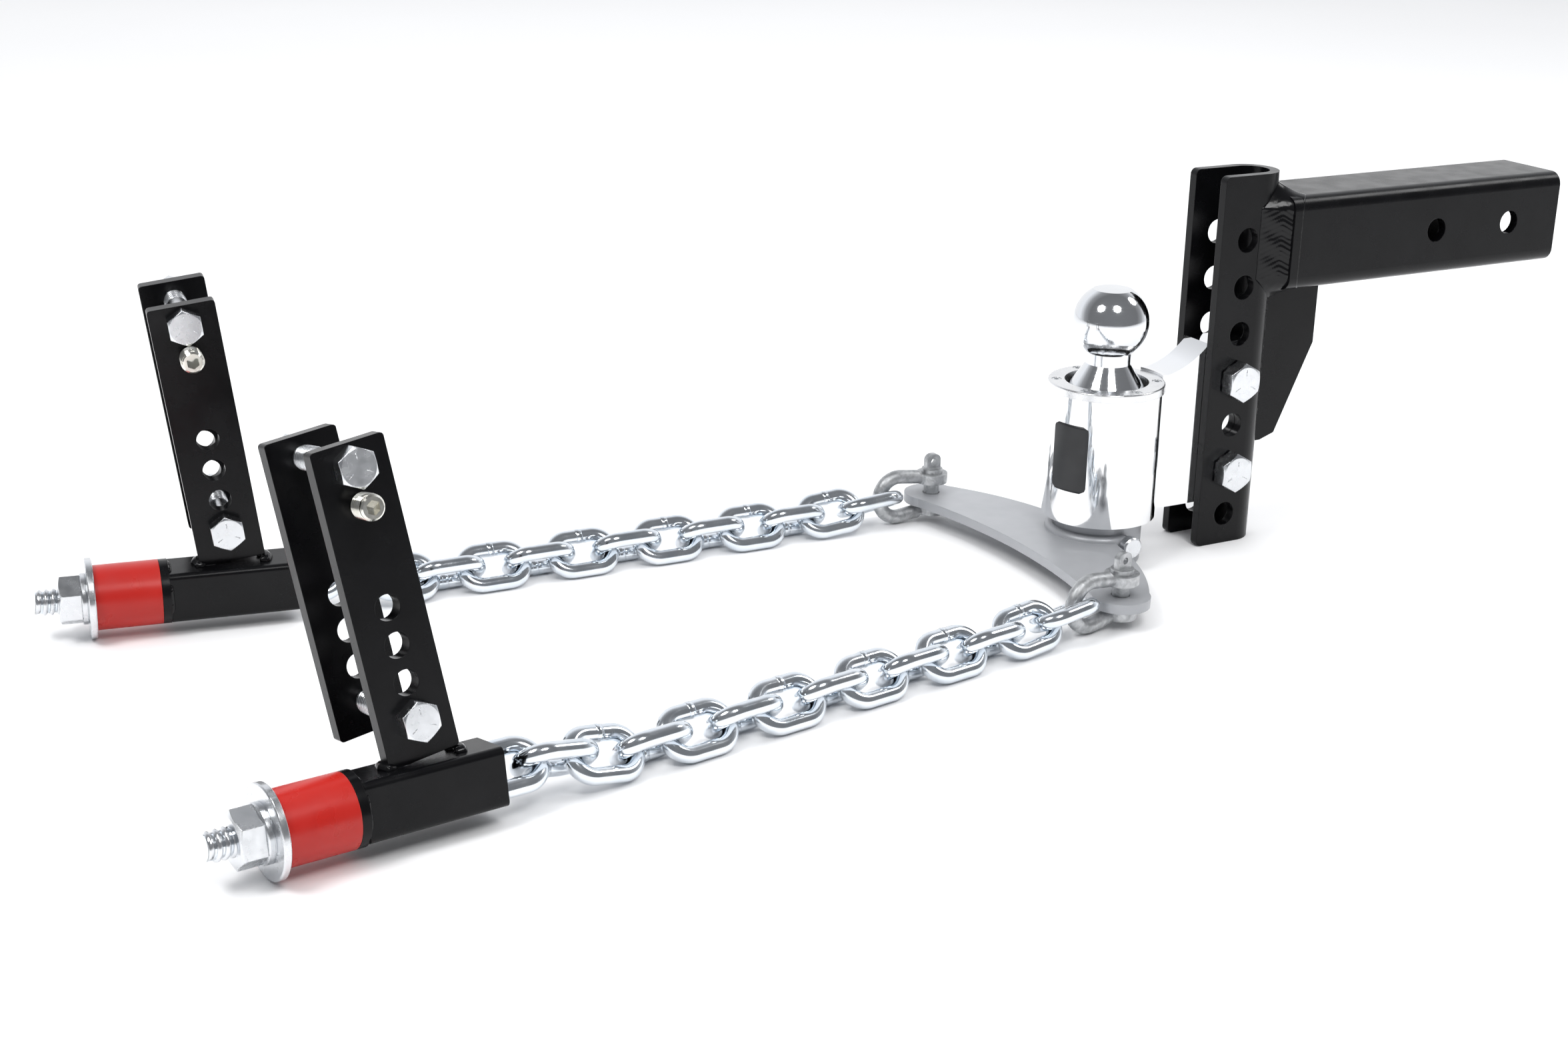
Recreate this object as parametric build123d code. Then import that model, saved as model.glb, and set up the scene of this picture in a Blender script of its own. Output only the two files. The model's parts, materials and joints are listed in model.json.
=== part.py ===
from build123d import *
import math
import os

# Weight-distribution hitch with a turning 2 inch ball, two drag chains and two
# frame brackets. Millimetres. X runs back along the shank to the towing vehicle,
# Y across, Z up. The model is worked out with the ball's axis at X = Y = 0 and
# the surface it stands on at Z = 0, and is then moved so that the origin is the
# middle of the receiver pin hole.

# Shank and rack
SHANK = 63.5                      # square tube, 2 1/2 inch
SHANK_WALL = 6.35
SHANK_CORNER = 9.0
SHANK_Z = 210.0                   # height of its centre line
SHANK_START, SHANK_END = 122.0, 364.0
PIN_X = 318.0                     # receiver pin hole
SPARE_PIN_X = 250.0
PIN_R = 8.2
RACK_GAP = 25.4
RACK_WALL = 6.35
RACK_FRONT, RACK_BEND_X = 72.0, 107.0
RACK_TOP = 257.0
RACK_HOLE_X = 94.0
RACK_HOLE_Z = 213.5               # highest hole
RACK_PITCH = 32.0
RACK_HOLES = 7
RACK_HOLE_R = 8.25
GUSSET_T = 10.0

# Ball housing and its clamp bolts
HOUSING_R = 38.1
HOUSING_Z0, HOUSING_Z1 = 31.0, 118.0
CAP_R, CAP_TOP = 38.9, 123.5
CAP_HOLE_R = 28.0
WEB_T = 24.8
WEB_TOP = 143.0
LINER_R = 29.0
LINER_Z0 = 46.0
CAP_SCREWS = 6
CAP_SCREW_CIRCLE = 33.4
BOLT_R = 7.9                      # 5/8 inch
BOLT_AF = 23.8
BOLT_HOLES = (3, 5)               # rack holes in use, counted from the top

# Ball, spindle, collar and spreader plate
BALL_R = 25.4
BALL_Z = 163.5
NECK_R, NECK_LOW = 15.0, 135.5     # below this height it widens to the cone
SPINDLE_R = 15.0
CONE_TOP_R, CONE_LOW_R = 25.0, 19.0
COLLAR_R = 30.0
PLATE_Z, PLATE_T = 16.5, 6.35
EAR_X, EAR_Y, EAR_R = -62.6, 112.0, 19.0
EAR_HOLE_R = 5.9
CROSS_PIN_R, CROSS_PIN_Z = 5.4, 17.6

# Shackles
BOW_WIRE_R = 4.9
BOW_R = 14.6                      # of the bow's centre line
BOW_REACH = 42.4                  # pin axis to the crown's centre line
JAW_R = 11.3                      # half the distance between the eyes' centres
SHACKLE_PIN_R = 5.5
EYE_R, EYE_T = 11.0, 6.8
SHACKLE_Z = 19.7                  # the bow's lower half rests on the ground

# Chains
WIRE_R = 4.9
PITCH = 31.0
PLAY = 0.5                        # between a link and the next
LINK_HALF_W = 12.1                # bar centre to bar centre, halved
LINK_HALF_L = (PITCH + 2 * WIRE_R + PLAY) / 2
LOOSE_LINKS = 13                  # one more is welded to the rod
LINK_ROLL = 45.0                  # links lie alternately on either side
FIRST_ROLL = -27.0                # the link in the shackle lies flatter
FIRST_LINK = 50.3                 # shackle pin to the first link's centre
CHAIN_Z = 13.6                    # height of the links that lie on the ground
HOOK_Z = 18.5                     # where the first link meets the bow
SLOPING = 2                       # links at each end that slope

# Brackets: local X along the rod towards the ball, Z up, origin on the rod axis
TUBE = 31.4
TUBE_INNER = 27.6
TUBE_X0, TUBE_X1 = -20.5, 56.0
TUBE_END_T = 5.0
LAST_LINK_X = 62.0
BAR_X = -1.5
BAR_W, BAR_T = 39.4, 8.4
BAR_LOW, BAR_TOP = 19.0, 178.5    # of the free plate
BAR_LEAN = 7.5                    # degrees, away from the ball
BAR_GAP = 46.5
HOLE_Z, HOLE_PITCH, BRACKET_HOLE_R = 35.2, 19.7, 6.75
TOP_BOLT_Z, SET_SCREW_Z = 166.5, 147.0
SET_SCREW_R = 6.5
M_BOLT_R, M_BOLT_AF = 6.3, 19.0
BUSH_R, BUSH_LENGTH = 19.8, 38.5
ROD_R, THREAD_R = 7.2, 6.7
ROD_END_X = -98.0
WASHER_R, WASHER_T = 24.6, 4.2
SMALL_WASHER_R, SMALL_WASHER_T = 15.6, 3.6
NUT_AF, NUT_H = 27.0, 13.0
AXIS_Z = WASHER_R                 # the end washer stands on the ground

# How each side lies: side sign, chain direction, rod direction, roll of the bracket
SIDES = {
    "near": {"y": -1, "chain": 9.7, "rod": 7.1, "roll": -10.5},
    "far": {"y": 1, "chain": -1.0, "rod": -9.1, "roll": 2.0},
}

TO_ORIGIN = Location((-PIN_X, 0, -SHANK_Z))
LOW = (Align.CENTER, Align.CENTER, Align.MIN)


def bar(start, end, radius):
    """A round bar from one point to another."""
    start, end = Vector(*start), Vector(*end)
    way = end - start
    return Plane(origin=start, z_dir=way) * Cylinder(radius, way.length, align=LOW)


def block(x, y, z):
    """A box from its three ranges."""
    return Pos(x[0], y[0], z[0]) * Box(x[1] - x[0], y[1] - y[0], z[1] - z[0], align=(Align.MIN,) * 3)


def turned(points):
    """A solid of revolution about Z from (radius, height) points."""
    return revolve(Plane.XZ * make_face(Polyline(*points, close=True)), Axis.Z, 360)


def hexagon(start, way, flats, height, crown=1.2):
    """A hexagonal prism whose far end is crowned."""
    frame = Plane(origin=start, z_dir=way)
    corner = flats / math.sqrt(3)
    prism = extrude(RegularPolygon(corner, 6), height)
    crowned = turned([(0, 0), (corner, 0), (corner, height - crown),
                      (corner - 2.2 * crown, height), (0, height)])
    return frame * (prism & crowned)


# ---- shank, rack and gusset ------------------------------------------------

def make_shank():
    half = SHANK / 2
    outer = RectangleRounded(SHANK, SHANK, SHANK_CORNER)
    inner = RectangleRounded(SHANK - 2 * SHANK_WALL, SHANK - 2 * SHANK_WALL, SHANK_CORNER - SHANK_WALL)
    across = Plane(origin=(SHANK_START, 0, SHANK_Z), z_dir=(1, 0, 0))
    tube = extrude(across * (outer - inner), SHANK_END - SHANK_START)
    for x in (PIN_X, SPARE_PIN_X):
        tube -= bar((x, -half - 1, SHANK_Z), (x, half + 1, SHANK_Z), PIN_R)
    seat = rack_outline(0.15)
    return tube - extrude(seat, RACK_TOP)


def rack_outline(extra=0.0):
    """The rack's outer shape seen from above, filled."""
    radius = RACK_GAP / 2 + RACK_WALL + extra
    return (Pos((RACK_FRONT + RACK_BEND_X) / 2, 0) * Rectangle(RACK_BEND_X - RACK_FRONT, 2 * radius)
            + Pos(RACK_BEND_X, 0) * Circle(radius))


def make_rack():
    radius = RACK_GAP / 2
    inside = (Pos((RACK_FRONT + RACK_BEND_X) / 2 - 2, 0) * Rectangle(RACK_BEND_X - RACK_FRONT + 4, 2 * radius)
              + Pos(RACK_BEND_X, 0) * Circle(radius))
    rack = extrude(rack_outline() - inside, RACK_TOP)
    half = radius + RACK_WALL
    for row in range(RACK_HOLES):
        z = RACK_HOLE_Z - row * RACK_PITCH
        rack -= bar((RACK_HOLE_X, -half - 1, z), (RACK_HOLE_X, half + 1, z), RACK_HOLE_R)
    front_corners = rack.edges().filter_by(Axis.Y).group_by(Axis.X)[0]
    return fillet(front_corners, 4.0)


def make_gusset():
    under = SHANK_Z - SHANK / 2
    back = RACK_BEND_X + RACK_GAP / 2 + RACK_WALL
    outline = Polyline((back - 4, under), (172, under), (172, under - 46), (144, 70), (back + 6, 66),
                       (back - 4, 66), close=True)
    plate = extrude(Plane.XZ * make_face(outline), GUSSET_T / 2, both=True)
    return plate - extrude(rack_outline(0.05), RACK_TOP)


# ---- housing ---------------------------------------------------------------

def web_outline():
    rise = CAP_TOP + 1.5
    inner_x = RACK_BEND_X - 1.0
    path = (Line((20, HOUSING_Z0), (inner_x, HOUSING_Z0)) + Line((inner_x, HOUSING_Z0), (inner_x, WEB_TOP))
            + Line((inner_x, WEB_TOP), (RACK_FRONT + 2, WEB_TOP))
            + ThreePointArc((RACK_FRONT + 2, WEB_TOP), (57.0, rise + 5.2), (42.0, rise))
            + Line((42.0, rise), (20, rise)) + Line((20, rise), (20, HOUSING_Z0)))
    return Plane.XZ * make_face(path)


def make_housing():
    body = Pos(0, 0, HOUSING_Z0) * Cylinder(HOUSING_R, HOUSING_Z1 - HOUSING_Z0, align=LOW)
    web = extrude(web_outline(), WEB_T / 2, both=True)
    web -= Pos(0, 0, HOUSING_Z1) * Cylinder(CAP_R + 0.3, 60, align=LOW)
    body += web
    body -= Pos(0, 0, LINER_Z0 - 0.2) * Cylinder(LINER_R + 0.1, 200, align=LOW)
    body -= Cylinder(SPINDLE_R + 0.6, 200)
    for row in BOLT_HOLES:
        z = RACK_HOLE_Z - row * RACK_PITCH
        body -= bar((RACK_HOLE_X, -20, z), (RACK_HOLE_X, 20, z), RACK_HOLE_R)
    return body


def screw_places():
    return [(CAP_SCREW_CIRCLE * math.cos(a), CAP_SCREW_CIRCLE * math.sin(a))
            for a in (math.radians(30 + 360 / CAP_SCREWS * i) for i in range(CAP_SCREWS))]


def make_cap():
    cap = Pos(0, 0, HOUSING_Z1 + 0.05) * Cylinder(CAP_R, CAP_TOP - HOUSING_Z1 - 0.05, align=LOW)
    cap = fillet(cap.edges().group_by(Axis.Z)[-1], 1.0)
    cap -= Cylinder(CAP_HOLE_R, 400)
    for x, y in screw_places():
        cap -= Pos(x, y, CAP_TOP - 2.4) * Cylinder(3.3, 5, align=LOW)
        cap -= Pos(x, y, HOUSING_Z1 - 2) * Cylinder(2.0, 10, align=LOW)
    return cap


def make_cap_screws():
    """Flush cap screws with a hexagon socket."""
    screws = []
    for x, y in screw_places():
        screw = Pos(x, y, CAP_TOP - 2.35) * Cylinder(3.1, 2.1, align=LOW)
        screw += Pos(x, y, HOUSING_Z1 + 0.3) * Cylinder(1.85, CAP_TOP - HOUSING_Z1 - 2.4, align=LOW)
        screw -= Pos(x, y, CAP_TOP - 1.8) * extrude(RegularPolygon(1.7, 6), 3)
        screws.append(screw)
    return screws


def make_liner():
    """The friction cone that grips the ball's spindle."""
    top = HOUSING_Z1 - 0.4
    gap = 0.3
    slope = (CONE_TOP_R - CONE_LOW_R) / (top - LINER_Z0)
    return turned([(CONE_LOW_R + gap, LINER_Z0), (LINER_R, LINER_Z0), (LINER_R, top),
                   (CONE_LOW_R + gap + slope * (top - LINER_Z0), top)])


def rack_bolt_heights():
    return [RACK_HOLE_Z - row * RACK_PITCH for row in BOLT_HOLES]


def make_rack_bolts():
    face = -(RACK_GAP / 2 + RACK_WALL)
    bolts = []
    for z in rack_bolt_heights():
        shaft = bar((RACK_HOLE_X, face, z), (RACK_HOLE_X, 40, z), BOLT_R)
        shaft += bar((RACK_HOLE_X, face - 1.0, z), (RACK_HOLE_X, face, z), BOLT_AF / 2 - 0.4)
        bolts.append(shaft + hexagon((RACK_HOLE_X, face - 1.0, z), (0, -1, 0), BOLT_AF, 10.2))
    return bolts


def make_rack_nuts():
    face = RACK_GAP / 2 + RACK_WALL
    return [hexagon((RACK_HOLE_X, face, z), (0, 1, 0), BOLT_AF, 14.0)
            - bar((RACK_HOLE_X, 0, z), (RACK_HOLE_X, 50, z), BOLT_R + 0.05) for z in rack_bolt_heights()]


# ---- the parts that turn with the ball ---------------------------------------

def make_ball_stud():
    flat = 13.0
    flat_z = BALL_Z + math.sqrt(BALL_R**2 - flat**2)
    neck_z = BALL_Z - math.sqrt(BALL_R**2 - NECK_R**2)
    base = CAP_TOP - 3.5
    profile = (Line((0, flat_z), (flat, flat_z))
               + ThreePointArc((flat, flat_z), (BALL_R, BALL_Z), (NECK_R, neck_z))
               + Line((NECK_R, neck_z), (NECK_R, NECK_LOW))
               + Line((NECK_R, NECK_LOW), (CONE_TOP_R - 0.8, base + 1.4))
               + Line((CONE_TOP_R - 0.8, base + 1.4), (CONE_TOP_R, base))
               + Line((CONE_TOP_R, base), (CONE_TOP_R, HOUSING_Z1 - 0.4))
               + Line((CONE_TOP_R, HOUSING_Z1 - 0.4), (CONE_LOW_R, LINER_Z0 + 0.3))
               + Line((CONE_LOW_R, LINER_Z0 + 0.3), (SPINDLE_R, LINER_Z0 + 0.3))
               + Line((SPINDLE_R, LINER_Z0 + 0.3), (SPINDLE_R, 2.0))
               + Line((SPINDLE_R, 2.0), (0, 2.0)) + Line((0, 2.0), (0, flat_z)))
    stud = revolve(Plane.XZ * make_face(profile), Axis.Z, 360)
    return stud - bar((0, -60, CROSS_PIN_Z), (0, 60, CROSS_PIN_Z), CROSS_PIN_R + 0.1)


def make_spreader_plate():
    """Crescent plate with two ears, welded around the spindle's collar."""
    low = PLATE_Z - PLATE_T / 2
    crescent = make_face(
        ThreePointArc((EAR_X - EAR_R, EAR_Y), (-66.0, 0), (EAR_X - EAR_R, -EAR_Y))
        + Line((EAR_X - EAR_R, -EAR_Y), (EAR_X + 11, -EAR_Y - 15))
        + ThreePointArc((EAR_X + 11, -EAR_Y - 15), (-6.0, 0), (EAR_X + 11, EAR_Y + 15))
        + Line((EAR_X + 11, EAR_Y + 15), (EAR_X - EAR_R, EAR_Y)))
    outline = crescent + Circle(COLLAR_R - 1)
    for side in (-1, 1):
        outline += Pos(EAR_X, side * EAR_Y) * Circle(EAR_R)
    plate = Pos(0, 0, low) * extrude(outline, PLATE_T)
    plate += Pos(0, 0, 0.6) * Cylinder(COLLAR_R, HOUSING_Z0 - 1.2, align=LOW)
    weld = Pos(0, 0, PLATE_Z + PLATE_T / 2) * Torus(COLLAR_R + 1.5, 4.0)
    plate += weld & block((-60, 0.0), (-45, 45), (PLATE_Z, HOUSING_Z0 - 0.6))
    plate -= Cylinder(SPINDLE_R + 0.15, 200)
    for side in (-1, 1):
        plate -= Pos(EAR_X, side * EAR_Y, 0) * Cylinder(EAR_HOLE_R, 100)
    return plate - bar((0, -60, CROSS_PIN_Z), (0, 60, CROSS_PIN_Z), CROSS_PIN_R + 0.1)


def make_cross_pin():
    """Headed pin that locks the spindle to the collar."""
    pin = bar((0, -36, CROSS_PIN_Z), (0, 38, CROSS_PIN_Z), CROSS_PIN_R)
    head = bar((0, -42, CROSS_PIN_Z), (0, -36, CROSS_PIN_Z), 7.2)
    head = chamfer(head.edges().group_by(Axis.Y)[0], 1.0)
    return pin + head - bar((-20, 35, CROSS_PIN_Z), (20, 35, CROSS_PIN_Z), 1.6)


# ---- shackles ----------------------------------------------------------------

def make_shackle_bow():
    """Bow shackle, pin axis along Z at the origin and the bow towards -X."""
    centre_x = -(BOW_REACH - BOW_R)
    reach = math.hypot(centre_x, JAW_R)
    turn = math.atan2(JAW_R, -centre_x) + math.acos(BOW_R / reach)
    touch = (centre_x + BOW_R * math.cos(turn), BOW_R * math.sin(turn))
    path = (Line((0, JAW_R), touch) + ThreePointArc(touch, (-BOW_REACH, 0), (touch[0], -touch[1]))
            + Line((touch[0], -touch[1]), (0, -JAW_R)))
    start = Plane(origin=(0, 0, JAW_R), z_dir=(touch[0], 0, touch[1] - JAW_R))
    bow = sweep(start * Circle(BOW_WIRE_R), path=Plane.XZ * path)
    for side in (-1, 1):
        eye = Pos(0, 0, side * JAW_R) * Cylinder(EYE_R, EYE_T)
        bow += eye
    faced = Pos(0, 0, JAW_R + EYE_T / 2) * Cylinder(EYE_R + 1, 20, align=LOW)
    bow -= faced + Rot(180, 0, 0) * faced + Cylinder(EYE_R + 1, 2 * JAW_R - EYE_T)
    return bow - Cylinder(SHACKLE_PIN_R + 0.05, 60)


def make_shackle_pin():
    """Screw pin with a flat, drilled head."""
    top = JAW_R + EYE_T / 2 + 0.05
    pin = bar((0, 0, -top - 1.5), (0, 0, top), SHACKLE_PIN_R)
    pin += bar((0, 0, top), (0, 0, top + 3.0), 7.4)
    tang = Pos(0, 0, top + 3.0) * Box(11.0, 4.6, 10.5, align=LOW)
    tang = fillet(tang.edges().filter_by(Axis.Y).group_by(Axis.Z)[-1], 4.5)
    return pin + tang - bar((0, -10, top + 8.2), (0, 10, top + 8.2), 2.2)


# ---- chain links ---------------------------------------------------------------

def make_link():
    """A link along X that lies in the XY plane."""
    straight = LINK_HALF_L - LINK_HALF_W
    link = None
    for side in (-1, 1):
        rod = bar((-straight, side * LINK_HALF_W, 0), (straight, side * LINK_HALF_W, 0), WIRE_R)
        ring = Plane.XZ * Pos(LINK_HALF_W, 0) * Circle(WIRE_R)
        bend = Pos(side * straight, 0, 0) * Rot(0, 0, -90 * side) * revolve(ring, Axis.Z, 180)
        link = rod + bend if link is None else link + rod + bend
    return link


def chain_frame(centre, heading, climb, roll):
    """Where a link lies: X along the chain, turned about it by roll."""
    return Location(centre) * Rot(0, 0, heading) * Rot(0, climb, 0) * Rot(roll, 0, 0)


# ---- brackets --------------------------------------------------------------------

def plate_frame():
    """The clamp plates lean back about the tube's top."""
    return Pos(BAR_X, 0, TUBE / 2) * Rot(0, -BAR_LEAN, 0) * Pos(0, 0, -TUBE / 2)


def bracket_heights():
    return [HOLE_Z + i * HOLE_PITCH for i in range(4)]


def clamp_plate(y, low, set_screw):
    plate = block((0, BAR_W), (y, y + BAR_T), (low, BAR_TOP))
    plate = fillet(plate.edges().filter_by(Axis.Y), 2.0)
    for z in bracket_heights() + [TOP_BOLT_Z]:
        plate -= bar((BAR_W / 2, y - 1, z), (BAR_W / 2, y + BAR_T + 1, z), BRACKET_HOLE_R)
    if set_screw:
        plate -= bar((BAR_W / 2, y - 1, SET_SCREW_Z), (BAR_W / 2, y + BAR_T + 1, SET_SCREW_Z), SET_SCREW_R + 0.1)
    return plate


def make_bracket_frame():
    """Square tube with its round end collar and the welded clamp plate."""
    middle = (TUBE_X0 + TUBE_X1) / 2
    outer = extrude(Plane(origin=(TUBE_X0, 0, 0), z_dir=(1, 0, 0)) * RectangleRounded(TUBE, TUBE, 3.5),
                    TUBE_X1 - TUBE_X0)
    end = bar((TUBE_X0 - TUBE_END_T, 0, 0), (TUBE_X0, 0, 0), BUSH_R)
    frame = outer + end + plate_frame() * clamp_plate(-BAR_T / 2, TUBE / 2 - 1.0, True)
    frame -= Pos(middle, 0, 0) * Box(TUBE_X1 - TUBE_X0 + 0.01, TUBE_INNER, TUBE_INNER)
    return frame - bar((TUBE_X0 - 20, 0, 0), (TUBE_X0 + 1, 0, 0), ROD_R + 0.6)


def make_clamp_plate():
    return plate_frame() * clamp_plate(BAR_T / 2 + BAR_GAP, BAR_LOW, False)


def make_clamp_bolts():
    face = -BAR_T / 2
    bolts = []
    for z in (HOLE_Z, TOP_BOLT_Z):
        bolt = bar((BAR_W / 2, face, z), (BAR_W / 2, BAR_T * 1.5 + BAR_GAP + 14, z), M_BOLT_R)
        bolts.append(plate_frame() * (bolt + hexagon((BAR_W / 2, face, z), (0, -1, 0), M_BOLT_AF, 8.0, 0.8)))
    return bolts


def make_clamp_nuts():
    back = BAR_T * 1.5 + BAR_GAP
    return [plate_frame() * (hexagon((BAR_W / 2, back, z), (0, 1, 0), M_BOLT_AF, 11.0, 0.8)
                             - bar((BAR_W / 2, 0, z), (BAR_W / 2, back + 20, z), M_BOLT_R + 0.3))
            for z in (HOLE_Z, TOP_BOLT_Z)]


def make_set_screw():
    """Hollow-point set screw with a hexagon socket, threaded through the welded plate."""
    start, end = -BAR_T / 2 - 13.0, BAR_T / 2 + 8.0
    screw = bar((BAR_W / 2, start, SET_SCREW_Z), (BAR_W / 2, end, SET_SCREW_Z), SET_SCREW_R)
    screw = chamfer(screw.edges().filter_by(GeomType.CIRCLE), 1.0)
    socket = Plane(origin=(BAR_W / 2, start, SET_SCREW_Z), z_dir=(0, 1, 0)) * RegularPolygon(3.9, 6)
    return plate_frame() * (screw - extrude(socket, 8.0))


def make_bushing():
    start = TUBE_X0 - TUBE_END_T - 0.1
    outer = bar((start, 0, 0), (start - BUSH_LENGTH, 0, 0), BUSH_R)
    return outer - bar((start + 1, 0, 0), (start - BUSH_LENGTH - 1, 0, 0), ROD_R + 0.8)


def washer_x():
    return TUBE_X0 - TUBE_END_T - 0.1 - BUSH_LENGTH - 0.1


def make_washers():
    """The wide end washer, and the thrust washer under the nut."""
    x = washer_x()
    washers = []
    for radius, thick in ((WASHER_R, WASHER_T), (SMALL_WASHER_R, SMALL_WASHER_T)):
        disc = bar((x, 0, 0), (x - thick, 0, 0), radius)
        disc = chamfer(disc.edges().filter_by(GeomType.CIRCLE), 0.6)
        washers.append(disc - bar((x + 1, 0, 0), (x - thick - 1, 0, 0), ROD_R + 0.5))
        x -= thick + 0.02
    return washers


def make_rod_nut():
    x = washer_x() - WASHER_T - SMALL_WASHER_T - 0.1
    return (hexagon((x, 0, 0), (-1, 0, 0), NUT_AF, NUT_H, 1.6)
            - bar((x + 1, 0, 0), (x - NUT_H - 1, 0, 0), ROD_R + 0.1))


def make_link_rod():
    """The last link with the threaded rod welded to its end."""
    weld_x = LAST_LINK_X - LINK_HALF_L
    rod = bar((weld_x + 1, 0, 0), (washer_x() + 4, 0, 0), ROD_R)
    rod += bar((washer_x() + 4, 0, 0), (ROD_END_X, 0, 0), THREAD_R)
    return rod + Pos(LAST_LINK_X, 0, 0) * Rot(45, 0, 0) * make_link()


# ---- assembly ----------------------------------------------------------------------

def write(name, made, place=Location()):
    solids = made if isinstance(made, list) else [made]
    placed = [TO_ORIGIN * place * solid for solid in solids]
    shape = placed[0] if len(placed) == 1 else Compound(children=placed)
    export_step(shape, f"parts/{name}.step")


def side_frames(side):
    """Locations of the shackle, the loose links and the bracket on one side."""
    s = side["y"]
    ear = Vector(EAR_X, s * EAR_Y, 0)
    heading = math.radians(side["chain"])
    level = Vector(-math.cos(heading), -math.sin(heading), 0)
    rod_heading = math.radians(side["rod"])
    rod_way = Vector(-math.cos(rod_heading), -math.sin(rod_heading), 0)
    fall = math.asin((CHAIN_Z - HOOK_Z) / (PITCH * SLOPING))
    rise = math.asin((AXIS_Z - CHAIN_Z) / (PITCH * SLOPING))
    climbs = [fall] * SLOPING + [0.0] * (LOOSE_LINKS - 2 * SLOPING) + [rise] * SLOPING
    joint = ear + level * (FIRST_LINK - PITCH / 2) + Vector(0, 0, HOOK_Z)
    shackle = Location((ear.X, ear.Y, SHACKLE_Z)) * Rot(0, 0, side["chain"])
    links = []
    for i, climb in enumerate(climbs):
        way = level * math.cos(climb) + Vector(0, 0, math.sin(climb))
        roll = FIRST_ROLL if i == 0 else LINK_ROLL * (1 if i % 2 else -1)
        links.append(chain_frame(joint + way * (PITCH / 2), side["chain"], math.degrees(climb), roll))
        joint += way * PITCH
    origin = joint + rod_way * (PITCH / 2 + LAST_LINK_X)
    bracket = Location((origin.X, origin.Y, AXIS_Z)) * Rot(0, 0, side["rod"]) * Rot(side["roll"], 0, 0)
    return shackle, links, bracket


def main():
    os.makedirs("parts", exist_ok=True)
    write("shank", make_shank())
    write("rack", make_rack())
    write("gusset", make_gusset())
    write("ball_housing", make_housing())
    write("housing_cap", make_cap())
    write("cap_screws", make_cap_screws())
    write("friction_cone", make_liner())
    write("rack_bolts", make_rack_bolts())
    write("rack_nuts", make_rack_nuts())
    write("ball_stud", make_ball_stud())
    write("spreader_plate", make_spreader_plate())
    write("cross_pin", make_cross_pin())

    link = make_link()
    for name, side in SIDES.items():
        shackle, links, bracket = side_frames(side)
        write(f"{name}_shackle_bow", make_shackle_bow(), shackle)
        write(f"{name}_shackle_pin", make_shackle_pin(), shackle)
        for i, place in enumerate(links, 1):
            write(f"{name}_link_{i:02d}", link, place)
        write(f"{name}_link_rod", make_link_rod(), bracket)
        write(f"{name}_bracket_frame", make_bracket_frame(), bracket)
        write(f"{name}_clamp_plate", make_clamp_plate(), bracket)
        write(f"{name}_clamp_bolts", make_clamp_bolts(), bracket)
        write(f"{name}_clamp_nuts", make_clamp_nuts(), bracket)
        write(f"{name}_set_screw", make_set_screw(), bracket)
        write(f"{name}_bushing", make_bushing(), bracket)
        write(f"{name}_washers", make_washers(), bracket)
        write(f"{name}_rod_nut", make_rod_nut(), bracket)


main()
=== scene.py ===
import bpy
import bmesh
import json
import math
from mathutils import Matrix, Vector


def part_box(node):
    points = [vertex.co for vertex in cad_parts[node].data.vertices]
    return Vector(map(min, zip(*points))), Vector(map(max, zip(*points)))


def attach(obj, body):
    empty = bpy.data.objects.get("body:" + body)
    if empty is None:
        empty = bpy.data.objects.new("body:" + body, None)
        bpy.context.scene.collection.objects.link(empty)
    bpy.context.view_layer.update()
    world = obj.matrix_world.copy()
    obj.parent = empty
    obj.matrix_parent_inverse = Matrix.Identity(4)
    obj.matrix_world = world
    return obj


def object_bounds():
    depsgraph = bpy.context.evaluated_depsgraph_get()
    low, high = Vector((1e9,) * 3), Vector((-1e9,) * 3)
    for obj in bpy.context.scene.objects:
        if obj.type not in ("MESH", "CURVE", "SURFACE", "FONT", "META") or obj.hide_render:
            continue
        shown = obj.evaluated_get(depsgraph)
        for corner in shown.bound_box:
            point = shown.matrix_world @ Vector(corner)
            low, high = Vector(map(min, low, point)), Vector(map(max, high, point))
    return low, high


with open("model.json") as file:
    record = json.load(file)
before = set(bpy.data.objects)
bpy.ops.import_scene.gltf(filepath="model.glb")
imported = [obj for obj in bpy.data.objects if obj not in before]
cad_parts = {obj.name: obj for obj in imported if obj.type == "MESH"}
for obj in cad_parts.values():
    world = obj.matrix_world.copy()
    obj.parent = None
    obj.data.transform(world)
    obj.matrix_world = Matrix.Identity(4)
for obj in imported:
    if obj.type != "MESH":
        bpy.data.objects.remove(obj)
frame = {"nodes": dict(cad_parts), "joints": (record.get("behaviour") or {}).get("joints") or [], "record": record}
cad_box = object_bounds()
nodes = frame["nodes"]
joints = {joint["name"]: joint for joint in frame["joints"]}
SIDES = ("near", "far")
MM = 0.001


# ---- materials -----------------------------------------------------------------

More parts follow.
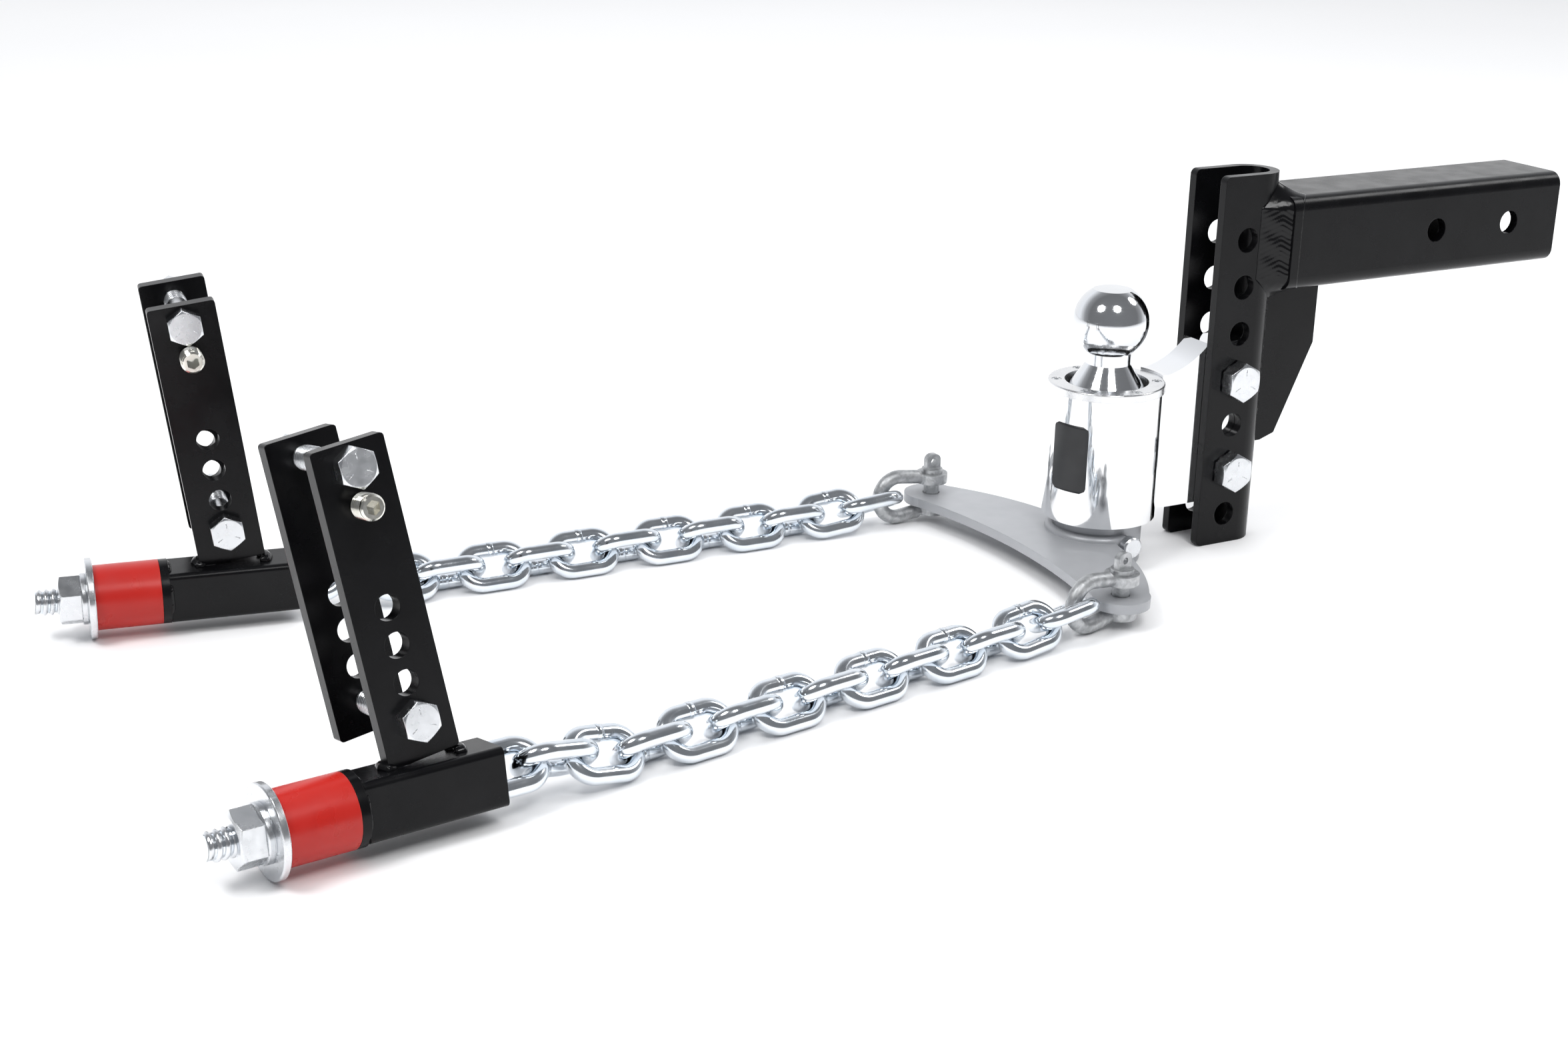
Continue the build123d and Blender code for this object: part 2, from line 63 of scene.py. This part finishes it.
class Shader:
    """A small helper around one material's node tree."""

    def __init__(self, name, metallic, rough, colour, **sockets):
        self.material = bpy.data.materials.new(name)
        self.material.use_nodes = True
        self.tree = self.material.node_tree
        self.bsdf = self.tree.nodes["Principled BSDF"]
        self.set("Metallic", metallic)
        self.set("Roughness", rough)
        self.set("Base Color", (*colour, 1))
        for key, value in sockets.items():
            self.set(key.replace("_", " "), value)
        self.coord = self.node("ShaderNodeTexCoord").outputs["Object"]

    def set(self, socket, value):
        self.bsdf.inputs[socket].default_value = value

    def node(self, kind, **values):
        made = self.tree.nodes.new(kind)
        for key, value in values.items():
            setattr(made, key, value)
        return made

    def link(self, out, into):
        self.tree.links.new(out, into)

    def noise(self, scale, detail=4.0, stretch=(1, 1, 1), distortion=0.0):
        place = self.node("ShaderNodeMapping")
        place.inputs["Scale"].default_value = stretch
        self.link(self.coord, place.inputs["Vector"])
        made = self.node("ShaderNodeTexNoise")
        made.inputs["Scale"].default_value = scale
        made.inputs["Detail"].default_value = detail
        made.inputs["Distortion"].default_value = distortion
        self.link(place.outputs["Vector"], made.inputs["Vector"])
        return made.outputs["Fac"]

    def ramp(self, fac, low, high, low_at=0.3, high_at=0.7):
        made = self.node("ShaderNodeValToRGB")
        ends = made.color_ramp.elements
        ends[0].position, ends[1].position = low_at, high_at
        ends[0].color, ends[1].color = (*low, 1), (*high, 1)
        self.link(fac, made.inputs["Fac"])
        return made.outputs["Color"]

    def span(self, fac, low, high, low_at=0.3, high_at=0.7):
        made = self.node("ShaderNodeMapRange")
        ends = {"From Min": low_at, "From Max": high_at, "To Min": low, "To Max": high}
        for key, value in ends.items():
            made.inputs[key].default_value = value
        self.link(fac, made.inputs["Value"])
        return made.outputs["Result"]

    def colour(self, fac, low, high, low_at=0.3, high_at=0.7):
        self.link(self.ramp(fac, low, high, low_at, high_at), self.bsdf.inputs["Base Color"])
        return self

    def rough(self, fac, low, high, low_at=0.3, high_at=0.7):
        self.link(self.span(fac, low, high, low_at, high_at), self.bsdf.inputs["Roughness"])
        return self

    def edge(self, radius):
        """Softens the shading of sharp edges."""
        made = self.node("ShaderNodeBevel", samples=4)
        made.inputs["Radius"].default_value = radius
        self.link(made.outputs["Normal"], self.bsdf.inputs["Normal"])
        return self

    def bump(self, fac, height, strength=1.0):
        made = self.node("ShaderNodeBump")
        made.inputs["Strength"].default_value = strength
        made.inputs["Distance"].default_value = height
        self.link(fac, made.inputs["Height"])
        normal = self.bsdf.inputs["Normal"]
        if normal.is_linked:
            self.link(normal.links[0].from_socket, made.inputs["Normal"])
        self.link(made.outputs["Normal"], normal)
        return self


def make_materials():
    looks = {}

    black = Shader("black_paint", 0.0, 0.25, (0.004, 0.004, 0.005), Specular_IOR_Level=0.20)
    black.colour(black.noise(38, 3), (0.0024, 0.0024, 0.0029), (0.0046, 0.0047, 0.0055))
    black.rough(black.noise(60, 5), 0.20, 0.30)
    black.edge(0.0007)
    black.bump(black.noise(520, 2), 0.00003, 0.35)
    looks["black_paint"] = black

    weld = Shader("black_weld", 0.0, 0.18, (0.004, 0.004, 0.005), Specular_IOR_Level=0.30)
    weld.colour(weld.noise(60, 3), (0.0022, 0.0022, 0.0027), (0.0044, 0.0044, 0.0052))
    weld.rough(weld.noise(90, 4), 0.13, 0.22)
    weld.bump(weld.noise(240, 2), 0.00018, 0.25)
    looks["black_weld"] = weld

    polished = Shader("polished_aluminium", 1.0, 0.08, (0.90, 0.905, 0.91))
    polished.colour(polished.noise(9, 3), (0.87, 0.875, 0.885), (0.93, 0.935, 0.94))
    polished.rough(polished.noise(60, 5, (1, 1, 14)), 0.045, 0.11)
    polished.bump(polished.noise(45, 2, (1, 1, 3)), 0.00012, 0.12)
    looks["polished_aluminium"] = polished

    satin = Shader("satin_aluminium", 1.0, 0.3, (0.80, 0.805, 0.81))
    satin.colour(satin.noise(30, 4), (0.77, 0.775, 0.785), (0.84, 0.845, 0.85))
    satin.rough(satin.noise(140, 5), 0.20, 0.32)
    satin.edge(0.0005)
    satin.bump(satin.noise(900, 3), 0.00002, 0.4)
    looks["satin_aluminium"] = satin

    chrome = Shader("chrome", 1.0, 0.07, (0.80, 0.815, 0.835))
    chrome.colour(chrome.noise(25, 3), (0.77, 0.785, 0.805), (0.83, 0.845, 0.865))
    chrome.rough(chrome.noise(120, 6, (1, 1, 8)), 0.05, 0.13)
    looks["chrome"] = chrome

    zinc = Shader("zinc_steel", 1.0, 0.25, (0.74, 0.755, 0.775))
    zinc.colour(zinc.noise(110, 5), (0.70, 0.715, 0.735), (0.77, 0.785, 0.805))
    zinc.rough(zinc.noise(170, 5), 0.19, 0.31)
    zinc.edge(0.0006)
    zinc.bump(zinc.noise(800, 3), 0.00002, 0.25)
    looks["zinc_steel"] = zinc

    chain = Shader("chain_zinc", 1.0, 0.2, (0.70, 0.745, 0.79))
    chain.colour(chain.noise(75, 4), (0.72, 0.775, 0.83), (0.84, 0.87, 0.905))
    chain.rough(chain.noise(120, 5), 0.10, 0.20)
    chain.bump(chain.noise(420, 3), 0.00004, 0.3)
    looks["chain_zinc"] = chain

    galvanised = Shader("galvanised", 0.9, 0.42, (0.45, 0.46, 0.47))
    galvanised.colour(galvanised.noise(230, 6, distortion=0.6), (0.36, 0.37, 0.38), (0.62, 0.63, 0.64))
    galvanised.rough(galvanised.noise(160, 5), 0.36, 0.56)
    galvanised.edge(0.0007)
    galvanised.bump(galvanised.noise(420, 4), 0.00016, 0.6)
    looks["galvanised"] = galvanised

    plate = Shader("grey_plate", 0.35, 0.42, (0.37, 0.38, 0.40))
    plate.colour(plate.noise(14, 4), (0.385, 0.395, 0.415), (0.43, 0.44, 0.46))
    plate.rough(plate.noise(90, 5), 0.36, 0.46)
    plate.edge(0.0006)
    plate.bump(plate.noise(1100, 2), 0.00003, 0.5)
    looks["grey_plate"] = plate

    nickel = Shader("nickel", 1.0, 0.16, (0.80, 0.79, 0.74))
    nickel.colour(nickel.noise(200, 4), (0.74, 0.72, 0.64), (0.86, 0.85, 0.80))
    nickel.rough(nickel.noise(260, 4), 0.10, 0.20)
    looks["nickel"] = nickel

    red = Shader("urethane", 0.0, 0.3, (0.58, 0.018, 0.012), Specular_IOR_Level=0.4)
    red.set("Subsurface Weight", 0.06)
    red.set("Subsurface Radius", (0.004, 0.001, 0.0006))
    red.colour(red.noise(22, 4), (0.435, 0.013, 0.009), (0.495, 0.019, 0.013))
    red.rough(red.noise(70, 5), 0.24, 0.36)
    red.edge(0.0008)
    red.bump(red.noise(95, 3), 0.00014, 0.3)
    looks["urethane"] = red

    lining = Shader("friction_lining", 0.0, 0.8, (0.02, 0.02, 0.02))
    lining.colour(lining.noise(400, 4), (0.010, 0.010, 0.010), (0.03, 0.029, 0.028))
    lining.bump(lining.noise(900, 4), 0.0001, 0.6)
    looks["friction_lining"] = lining

    label = Shader("label_film", 0.0, 0.35, (0.03, 0.031, 0.034))
    label.colour(label.noise(60, 3), (0.011, 0.0115, 0.013), (0.017, 0.0175, 0.0195))
    label.rough(label.noise(150, 3), 0.28, 0.40)
    looks["label_film"] = label
    return looks


looks = make_materials()


def wear(obj, look):
    """Gives an object one material in every slot."""
    material = looks[look].material
    if not obj.material_slots:
        obj.data.materials.append(material)
    for slot in obj.material_slots:
        slot.material = material


def look_of(name, slot):
    return "chain_zinc" if "_link_" in name else slot


for part in frame["record"]["subparts"]:
    if part["node"] in nodes:
        wear(nodes[part["node"]], look_of(part["node"], part["material_slot"]))


# ---- mesh helpers ----------------------------------------------------------------

def make_object(name, points, faces, body, slot, look, smooth=True):
    mesh = bpy.data.meshes.new(name)
    mesh.from_pydata([tuple(p) for p in points], [], faces)
    mesh.validate()
    bm = bmesh.new()
    bm.from_mesh(mesh)
    bmesh.ops.recalc_face_normals(bm, faces=bm.faces)
    bm.to_mesh(mesh)
    bm.free()
    for polygon in mesh.polygons:
        polygon.use_smooth = smooth
    obj = bpy.data.objects.new(name, mesh)
    bpy.context.collection.objects.link(obj)
    wear(obj, look)
    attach(obj, body)
    return obj


def merge(parts):
    """Joins (points, faces) meshes."""
    points, faces = [], []
    for some_points, some_faces in parts:
        start = len(points)
        points += some_points
        faces += [[i + start for i in face] for face in some_faces]
    return points, faces


def tube_mesh(sections, closed=False):
    """A skin over cross-sections; each section is a list of points."""
    count, around = len(sections), len(sections[0])
    points = [p for section in sections for p in section]
    faces = []
    for i in range(count if closed else count - 1):
        j = (i + 1) % count
        for k in range(around):
            m = (k + 1) % around
            faces.append([i * around + k, i * around + m, j * around + m, j * around + k])
    if not closed:
        faces.append(list(range(around))[::-1])
        faces.append([(count - 1) * around + k for k in range(around)])
    return points, faces


def frame_of(origin, x_axis, y_axis):
    """A 4x4 matrix from an origin, an X axis and a rough Y axis."""
    x = Vector(x_axis).normalized()
    z = x.cross(Vector(y_axis)).normalized()
    y = z.cross(x)
    made = Matrix((x, y, z)).transposed().to_4x4()
    made.translation = Vector(origin)
    return made


def bead(path, ups, radius, ripple, step=0.0030, flat=0.6, closed=False, seed=0.0):
    """A rippled weld bead along points; ups are the directions in which it bulges."""
    runs = [(path[i], path[(i + 1) % len(path)], ups[i], ups[(i + 1) % len(path)])
            for i in range(len(path) if closed else len(path) - 1)]
    spacing = 0.4 * MM
    places = []
    travelled = 0.0
    for a, b, up_a, up_b in runs:
        length = (b - a).length
        count = max(1, round(length / spacing))
        for k in range(count):
            t = k / count
            places.append((a.lerp(b, t), up_a.lerp(up_b, t).normalized(), travelled + length * t))
        travelled += length
    if not closed:
        places.append((path[-1], ups[-1].normalized(), travelled))
    sections = []
    total = len(places)
    for i, (p, up, s) in enumerate(places):
        ahead = places[(i + 1) % total][0] if closed or i + 1 < total else p
        behind = places[i - 1][0] if closed or i else p
        along = (ahead - behind).normalized()
        side = along.cross(up).normalized()
        phase = (s / step) % 1.0
        unevenness = 0.07 * math.sin(s * 410 + seed) + 0.05 * math.sin(s * 977 + 2 * seed)
        lift = 1 + ripple * (1 - phase) ** 1.5 + unevenness
        wide = 1 + 0.5 * ripple * (1 - phase) + 0.08 * math.sin(s * 330 + 1.7 + seed)
        taper = 1.0
        if not closed:
            end = min(s, travelled - s) / (2.0 * radius)
            taper = 0.35 + 0.65 * min(1.0, max(0.0, end)) ** 0.5
        ring = []
        for k in range(12):
            a = 2 * math.pi * k / 12
            ring.append(p + (side * (math.cos(a) * radius * wide)
                             + up * (math.sin(a) * radius * flat * lift)) * taper
                        - along * (0.25 * step * math.cos(a) ** 2))
        sections.append(ring)
    return tube_mesh(sections, closed)


# Across the ridge in pitches, and its height there as a share of crest - root.
RIDGE_PROFILE = ((-0.47, -0.2), (-0.30, 0.35), (-0.13, 0.9), (0.0, 1.0),
                 (0.13, 0.9), (0.30, 0.35), (0.47, -0.2))


def helix(matrix, start, end, pitch, root, crest, per_turn=36):
    """A rounded screw ridge around a matrix's X axis; it runs out over half a turn."""
    fade = 0.5
    turns = abs(end - start) / pitch
    count = int(turns * per_turn)
    sections = []
    for i in range(count + 1):
        t = i / count
        angle = 2 * math.pi * turns * t
        x = start + (end - start) * t
        ease = max(0.0, min(1.0, t * turns / fade, (1 - t) * turns / fade))
        rise = (crest - root) * ease
        ring = []
        for across, up in RIDGE_PROFILE:
            radius = root + rise * up
            point = (x + across * pitch, radius * math.cos(angle), radius * math.sin(angle))
            ring.append(matrix @ Vector(point))
        sections.append(ring)
    return tube_mesh(sections)


# ---- where things are --------------------------------------------------------------

PIN_X, SHANK_Z = 318 * MM, 210 * MM          # from the ball's axis and the ground
SHIFT = Vector((-PIN_X, 0, -SHANK_Z))


def spot(x, y, z):
    """A point given in millimetres from the ball's axis and the ground."""
    return Vector((x, y, z)) * MM + SHIFT


# Sizes in millimetres that the parts have.
RACK_OUT = 25.4 / 2 + 6.35                    # half the rack's width
RACK_BEND_X = 107
RACK_HOLE_X, RACK_TOP_HOLE, RACK_PITCH = 94, 213.5, 32
SHANK_HALF, SHANK_CORNER = 31.75, 9.0
TUBE_HALF, TUBE_END_X = 15.7, -20.3
PLATE_X, PLATE_LEAN, PLATE_HALF_T = -1.5, 7.5, 4.2
PLATE_MID, PLATE_END_X = 19.7, 37.6
BOLT_ROWS = (35.2, 166.5)                     # heights on the clamp plates
SET_SCREW_ROW = 147.0
LINK_HALF_W = 12.1
HOUSING_R = 38.1

rod_frames, plate_frames = {}, {}
for side in SIDES:
    slide = joints[f"{side}_bracket_slide"]
    clamp = joints[f"{side}_clamp_slide"]
    across = -Vector(clamp["axis"])
    rod_frames[side] = frame_of(slide["pos_m"], slide["axis"], across)
    lean = Matrix.Rotation(math.radians(-PLATE_LEAN), 4, "Y")
    foot = Matrix.Translation((PLATE_X * MM, 0, TUBE_HALF * MM))
    down = Matrix.Translation((0, 0, -TUBE_HALF * MM))
    plate_frames[side] = rod_frames[side] @ foot @ lean @ down


# ---- details on the metal parts -------------------------------------------------------

def rod_threads():
    """The coarse rolled thread on the rod's end and inside the washers."""
    for side in SIDES:
        parts = helix(rod_frames[side], -66 * MM, -97.4 * MM, 4.1 * MM, 6.65 * MM, 8.0 * MM)
        make_object(f"{side}_rod_thread", *parts, f"{side}_chain_rod", "zinc_steel", "zinc_steel")


def bolt_threads():
    """Threads on the clamp bolts' ends and on the set screws."""
    turn = Matrix.Rotation(math.radians(90), 4, "Z")
    for side in SIDES:
        ridges = []
        for z in BOLT_ROWS:
            axis = plate_frames[side] @ Matrix.Translation(Vector((PLATE_MID, 0, z)) * MM) @ turn
            ridges.append(helix(axis, 36 * MM, 72.6 * MM, 1.95 * MM, 6.25 * MM, 6.75 * MM, 24))
        make_object(f"{side}_bolt_threads", *merge(ridges), f"{side}_bracket", "zinc_steel", "zinc_steel")
        axis = plate_frames[side] @ Matrix.Translation(Vector((PLATE_MID, 0, SET_SCREW_ROW)) * MM) @ turn
        ridges = [helix(axis, low * MM, high * MM, 1.6 * MM, 6.45 * MM, 6.95 * MM, 28)
                  for low, high in ((-16.0, -4.6), (4.6, 11.0))]
        make_object(f"{side}_set_screw_threads", *merge(ridges), f"{side}_set_screw", "nickel", "nickel")


def tick_marks(name, centres, outward, up, body, head_radius):
    """Three raised radial marks on a bolt head."""
    parts = []
    for centre in centres:
        side = outward.cross(up).normalized()
        for angle in (90, 210, 330):
            a = math.radians(angle)
            along = side * math.cos(a) + up * math.sin(a)
            across = outward.cross(along)
            low, high, half = 0.45 * head_radius, 0.80 * head_radius, 0.32 * MM
            points = []
            for lift, grow in ((-0.1 * MM, 1.0), (0.22 * MM, 0.6)):
                for r, s in ((low, -1), (high, -1), (high, 1), (low, 1)):
                    points.append(centre + along * r + across * (s * half * grow) + outward * lift)
            faces = [[3, 2, 1, 0], [4, 5, 6, 7]]
            faces += [[k, (k + 1) % 4, (k + 1) % 4 + 4, k + 4] for k in range(4)]
            parts.append((points, faces))
    make_object(name, *merge(parts), body, "zinc_steel", "zinc_steel")


def bolt_marks():
    """Marks on the heads of the rack's bolts and of the clamp bolts."""
    outward, up = Vector((0, -1, 0)), Vector((0, 0, 1))
    gap, rack_head, clamp_head = 1.0, 10.2, 8.0
    face = -(RACK_OUT + gap + rack_head)
    centres = [spot(RACK_HOLE_X, face, RACK_TOP_HOLE - RACK_PITCH * row) for row in (3, 5)]
    tick_marks("rack_bolt_marks", centres, outward, up, "hitch", 11.9 * MM)
    for side in SIDES:
        place = plate_frames[side]
        turn = place.to_3x3()
        centres = [place @ (Vector((PLATE_MID, -PLATE_HALF_T - clamp_head, z)) * MM) for z in BOLT_ROWS]
        tick_marks(f"{side}_bolt_marks", centres, turn @ outward, turn @ up, f"{side}_bracket", 9.5 * MM)


def link_seams():
    """The butt weld in the middle of one bar of each link."""
    for side in SIDES:
        for number in range(1, 14):
            joint = joints[f"{side}_link_{number:02d}_swing"]
            low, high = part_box(f"{side}_link_{number:02d}")
            middle = (Vector(low) + Vector(high)) / 2
            place = frame_of(middle, Vector(joint["pos_m"]) - middle, joint["axis"])
            seam = seam_mesh(place @ Matrix.Translation((0, LINK_HALF_W * MM, 0)))
            make_object(f"{side}_link_{number:02d}_seam", *seam, f"{side}_chain_{number:02d}",
                        "zinc_steel", "chain_zinc")


# Along the bar and radius, in millimetres.
SEAM_PROFILE = ((-2.2, 4.86), (-1.5, 5.12), (-0.5, 5.05), (0.0, 5.25),
                (0.5, 5.05), (1.5, 5.12), (2.2, 4.86))


def seam_mesh(place):
    """A slightly wavy ring around a bar along X."""
    around, waver = 28, 0.25
    sections = []
    for x, radius in SEAM_PROFILE:
        ring = []
        for k in range(around):
            a = 2 * math.pi * k / around
            point = (x + waver * math.sin(3 * a), radius * math.cos(a), radius * math.sin(a))
            ring.append(place @ (Vector(point) * MM))
        sections.append(ring)
    return tube_mesh(sections)


def rounded_loop(half, corner, per_corner):
    """Points and outward directions around a rounded square in YZ."""
    flat = half - corner
    loop = []
    for sy, sz, start in ((1, 1, 0), (-1, 1, 90), (-1, -1, 180), (1, -1, 270)):
        for k in range(per_corner + 1):
            a = math.radians(start + 90 * k / per_corner)
            ny, nz = math.cos(a), math.sin(a)
            loop.append((sy * flat + corner * ny, sz * flat + corner * nz, ny, nz))
    return loop


def fine_loop(corners, spacing):
    """The same closed loop with points no further apart than a spacing."""
    loop = []
    for start, end in zip(corners, corners[1:] + corners[:1]):
        count = max(1, round(math.hypot(end[0] - start[0], end[1] - start[1]) / spacing))
        for k in range(count):
            loop.append([p + (q - p) * k / count for p, q in zip(start, end)])
    return loop


def shank_weld():
    """The collar of weld that carries the rack's rounded back over to the shank."""
    ripple_pitch, slant = 3.3, 4.6
    loop = fine_loop(rounded_loop(SHANK_HALF, SHANK_CORNER, 14), 0.7)
    sections = []
    rows = 22
    for y, z, ny, nz in loop:
        side, flare = abs(ny), 1 - abs(ny)
        low_y = y * RACK_OUT / SHANK_HALF
        back = math.sqrt(max(RACK_OUT**2 - low_y**2, 0.0))
        taller = 1 + (2.0 + 6.0 * flare) / SHANK_HALF
        a = Vector((RACK_BEND_X + back - 3.0 * side - 0.4, low_y, z * taller))
        b = Vector((129 + 8 * flare, y, z))
        out = Vector((-0.45, ny, nz)).normalized()
        ring = []
        for row in range(rows + 1):
            t = row / rows
            bulge = (1.3 * side - 1.3 * flare) * math.sin(math.pi * t)
            phase = (z / ripple_pitch + slant * abs(t - 0.5)) % 1.0
            ripple = 0.45 * (phase - 0.5) * side**2 * math.sin(math.pi * t) ** 0.6
            wander = 0.25 * math.sin(z * 0.41 + 5 * t) * math.sin(math.pi * t)
            ring.append(a.lerp(b, t) + out * (bulge + ripple + wander + 0.25))
        inward = Vector((0, ny, nz)) * 2.0
        ring += [b - inward, a - inward]
        sections.append([spot(p.x, p.y, SHANK_Z / MM + p.z) for p in ring])
    make_object("shank_weld", *tube_mesh(sections, closed=True), "hitch", "black_paint", "black_weld")


def gusset_welds():
    """Smooth beads where the gusset meets the shank and the rack."""
    for name, y, lean in (("gusset_weld_near", -5.0, -1), ("gusset_weld_far", 5.0, 1)):
        path = [spot(x, y + lean * 0.4, 178.1) for x in (135, 150, 165, 171)]
        ups = [Vector((0, lean * 0.7, -0.7))] * 4
        down = [spot(RACK_BEND_X + 18.3, y + lean * 0.4, z) for z in (168, 140, 110, 70)]
        down_ups = [Vector((0.6, lean * 0.8, 0))] * 4
        parts = [bead(path, ups, 2.6 * MM, 0.08, flat=0.7),
                 bead(down, down_ups, 2.6 * MM, 0.08, flat=0.7)]
        make_object(name, *merge(parts), "hitch", "black_paint", "black_weld")


def plate_welds():
    """The beads around both ends of each welded plate's foot, and the tube's end."""
    z = TUBE_HALF + 0.2
    around_end = ((-3.5, 4.4, 0, 1), (0.6, 4.0, 0.6, 0.8), (1.4, 0, 1, 0),
                  (0.6, -4.0, 0.6, -0.8), (-3.5, -4.4, 0, -1))
    for side in SIDES:
        place = rod_frames[side]
        turn = place.to_3x3()
        parts = []
        for edge, way, seed in ((PLATE_X, -1, 0.3), (PLATE_END_X, 1, 1.4)):
            path, ups = [], []
            for x, y, nx, ny in around_end:
                path.append(place @ (Vector((edge + way * x, y, z)) * MM))
                ups.append(turn @ Vector((way * nx * 0.8, ny * 0.8, 0.7)))
            parts.append(bead(path, ups, 3.9 * MM, 0.10, 0.0042, 0.95, seed=seed))
        for ny, nz in ((0, 1), (0, -1), (1, 0), (-1, 0)):
            across = TUBE_HALF - 0.1
            path = [place @ (Vector((TUBE_END_X, across * ny + s * nz, across * nz + s * ny)) * MM)
                    for s in (-9, 0, 9)]
            ups = [turn @ Vector((-0.6, ny, nz))] * 3
            parts.append(bead(path, ups, 1.9 * MM, 0.12, flat=0.9, seed=2.0 + ny))
        make_object(f"{side}_plate_weld", *merge(parts), f"{side}_bracket", "black_paint", "black_weld")


def housing_label():
    """A plain dark label on the housing."""
    radius, thick, corner = HOUSING_R + 0.02, 0.18, 4.0
    mid, half_angle = math.radians(-162), math.radians(21)
    low, high = 54.0, 100.0
    tall = (high - low) / 2
    steps, rows = 40, 24
    points, faces = [], []
    for r in (radius, radius + thick):
        for j in range(rows + 1):
            v = -1 + 2 * j / rows
            z = (low + high) / 2 + v * tall
            edge = max(0.0, abs(v) * tall - (tall - corner))
            trim = corner - math.sqrt(max(corner**2 - edge**2, 0.0))
            half = half_angle - trim / radius
            for i in range(steps + 1):
                a = mid + half * (-1 + 2 * i / steps)
                points.append(spot(r * math.cos(a), r * math.sin(a), z))
    wide = steps + 1
    count = wide * (rows + 1)
    for j in range(rows):
        for i in range(steps):
            a = j * wide + i
            faces.append([a, a + 1, a + wide + 1, a + wide])
            faces.append([count + a + wide, count + a + wide + 1, count + a + 1, count + a])
    rim = [i for i in range(wide)] + [j * wide + steps for j in range(1, rows + 1)]
    rim += [rows * wide + i for i in range(steps - 1, -1, -1)]
    rim += [j * wide for j in range(rows - 1, 0, -1)]
    for a, b in zip(rim, rim[1:] + rim[:1]):
        faces.append([a, b, b + count, a + count])
    make_object("housing_label", points, faces, "hitch", "polished_aluminium", "label_film")


rod_threads()
bolt_threads()
bolt_marks()
link_seams()
shank_weld()
gusset_welds()
plate_welds()
housing_label()


# ---- floor, light and camera -----------------------------------------------------------

def make_floor():
    low = cad_box[0][2]
    mesh = bpy.data.meshes.new("floor")
    size = 3.6
    corners = [(x * size, y * size, low) for x, y in ((-1, -1), (1, -1), (1, 1), (-1, 1))]
    mesh.from_pydata(corners, [], [[0, 1, 2, 3]])
    floor = bpy.data.objects.new("floor", mesh)
    bpy.context.collection.objects.link(floor)
    paper = Shader("floor_paper", 0.0, 0.7, (0.91, 0.91, 0.915), Specular_IOR_Level=0.2)
    paper.colour(paper.noise(1.2, 2), (0.90, 0.90, 0.905), (0.92, 0.92, 0.925))
    mesh.materials.append(paper.material)


def make_light(name, place, aim, size, power, mirrored=True):
    """A round lamp; one that isn't mirrored lights things but shows in no reflection."""
    lamp = bpy.data.lights.new(name, "AREA")
    lamp.shape = "DISK"
    lamp.size = size
    lamp.energy = power
    obj = bpy.data.objects.new(name, lamp)
    obj.location = place
    obj.rotation_euler = (Vector(aim) - Vector(place)).to_track_quat("-Z", "Y").to_euler()
    obj.visible_glossy = mirrored
    bpy.context.collection.objects.link(obj)


def make_world():
    """A white backdrop behind the hitch; the room in front and above is dark."""
    world = bpy.data.worlds.new("studio")
    bpy.context.scene.world = world
    world.use_nodes = True
    tree = world.node_tree
    coord = tree.nodes.new("ShaderNodeTexCoord")
    toward = tree.nodes.new("ShaderNodeVectorMath")
    toward.operation = "DOT_PRODUCT"
    toward.inputs[1].default_value = (0.43, 0.79, -0.38)
    shift = tree.nodes.new("ShaderNodeMapRange")
    shift.inputs["From Min"].default_value, shift.inputs["From Max"].default_value = -1.0, 1.0
    ramp = tree.nodes.new("ShaderNodeValToRGB")
    tree.links.new(coord.outputs["Generated"], toward.inputs[0])
    tree.links.new(toward.outputs["Value"], shift.inputs["Value"])
    tree.links.new(shift.outputs["Result"], ramp.inputs["Fac"])
    ends = ramp.color_ramp.elements
    ends[0].position, ends[0].color = 0.0, (0.20, 0.205, 0.215, 1)
    ends[1].position, ends[1].color = 1.0, (1.0, 1.0, 1.0, 1)
    for at, level in ((0.38, 0.18), (0.52, 0.33), (0.70, 0.95)):
        stop = ramp.color_ramp.elements.new(at)
        stop.color = (level, level * 1.02, level * 1.06, 1)
    tree.links.new(ramp.outputs["Color"], tree.nodes["Background"].inputs["Color"])
    tree.nodes["Background"].inputs["Strength"].default_value = 1.05


def make_camera():
    azimuth, elevation, roll = math.radians(29.02), math.radians(19.37), math.radians(1.29)
    ahead = Vector((math.sin(azimuth) * math.cos(elevation), math.cos(azimuth) * math.cos(elevation),
                    -math.sin(elevation)))
    level = Vector((math.cos(azimuth), -math.sin(azimuth), 0))
    above = level.cross(ahead)
    right = level * math.cos(roll) + above * math.sin(roll)
    up = above * math.cos(roll) - level * math.sin(roll)
    lens = bpy.data.cameras.new("camera")
    lens.sensor_width = 36.0
    lens.lens = 52.6
    lens.shift_y = 0.0023
    lens.clip_start, lens.clip_end = 0.05, 60
    camera = bpy.data.objects.new("camera", lens)
    place = Matrix((right, up, -ahead)).transposed().to_4x4()
    place.translation = Vector((-1.2184, -1.1847, 0.3228))
    camera.matrix_world = place
    bpy.context.collection.objects.link(camera)
    bpy.context.scene.camera = camera


make_floor()
make_world()
make_light("left_lamp", (-1.72, -0.23, 1.39), (-0.25, 0, -0.1), 0.7, 13)
make_light("front_lamp", (-0.62, -1.30, 1.51), (-0.25, 0, -0.1), 0.7, 13)
make_light("right_lamp", (1.38, -0.43, 1.57), (-0.1, 0, 0), 0.8, 10)
make_light("ceiling", (0.1, 1.4, 3.6), (0.1, 1.4, -0.2), 8.0, 205, mirrored=False)
make_camera()
bpy.context.scene.view_settings.view_transform = "Standard"
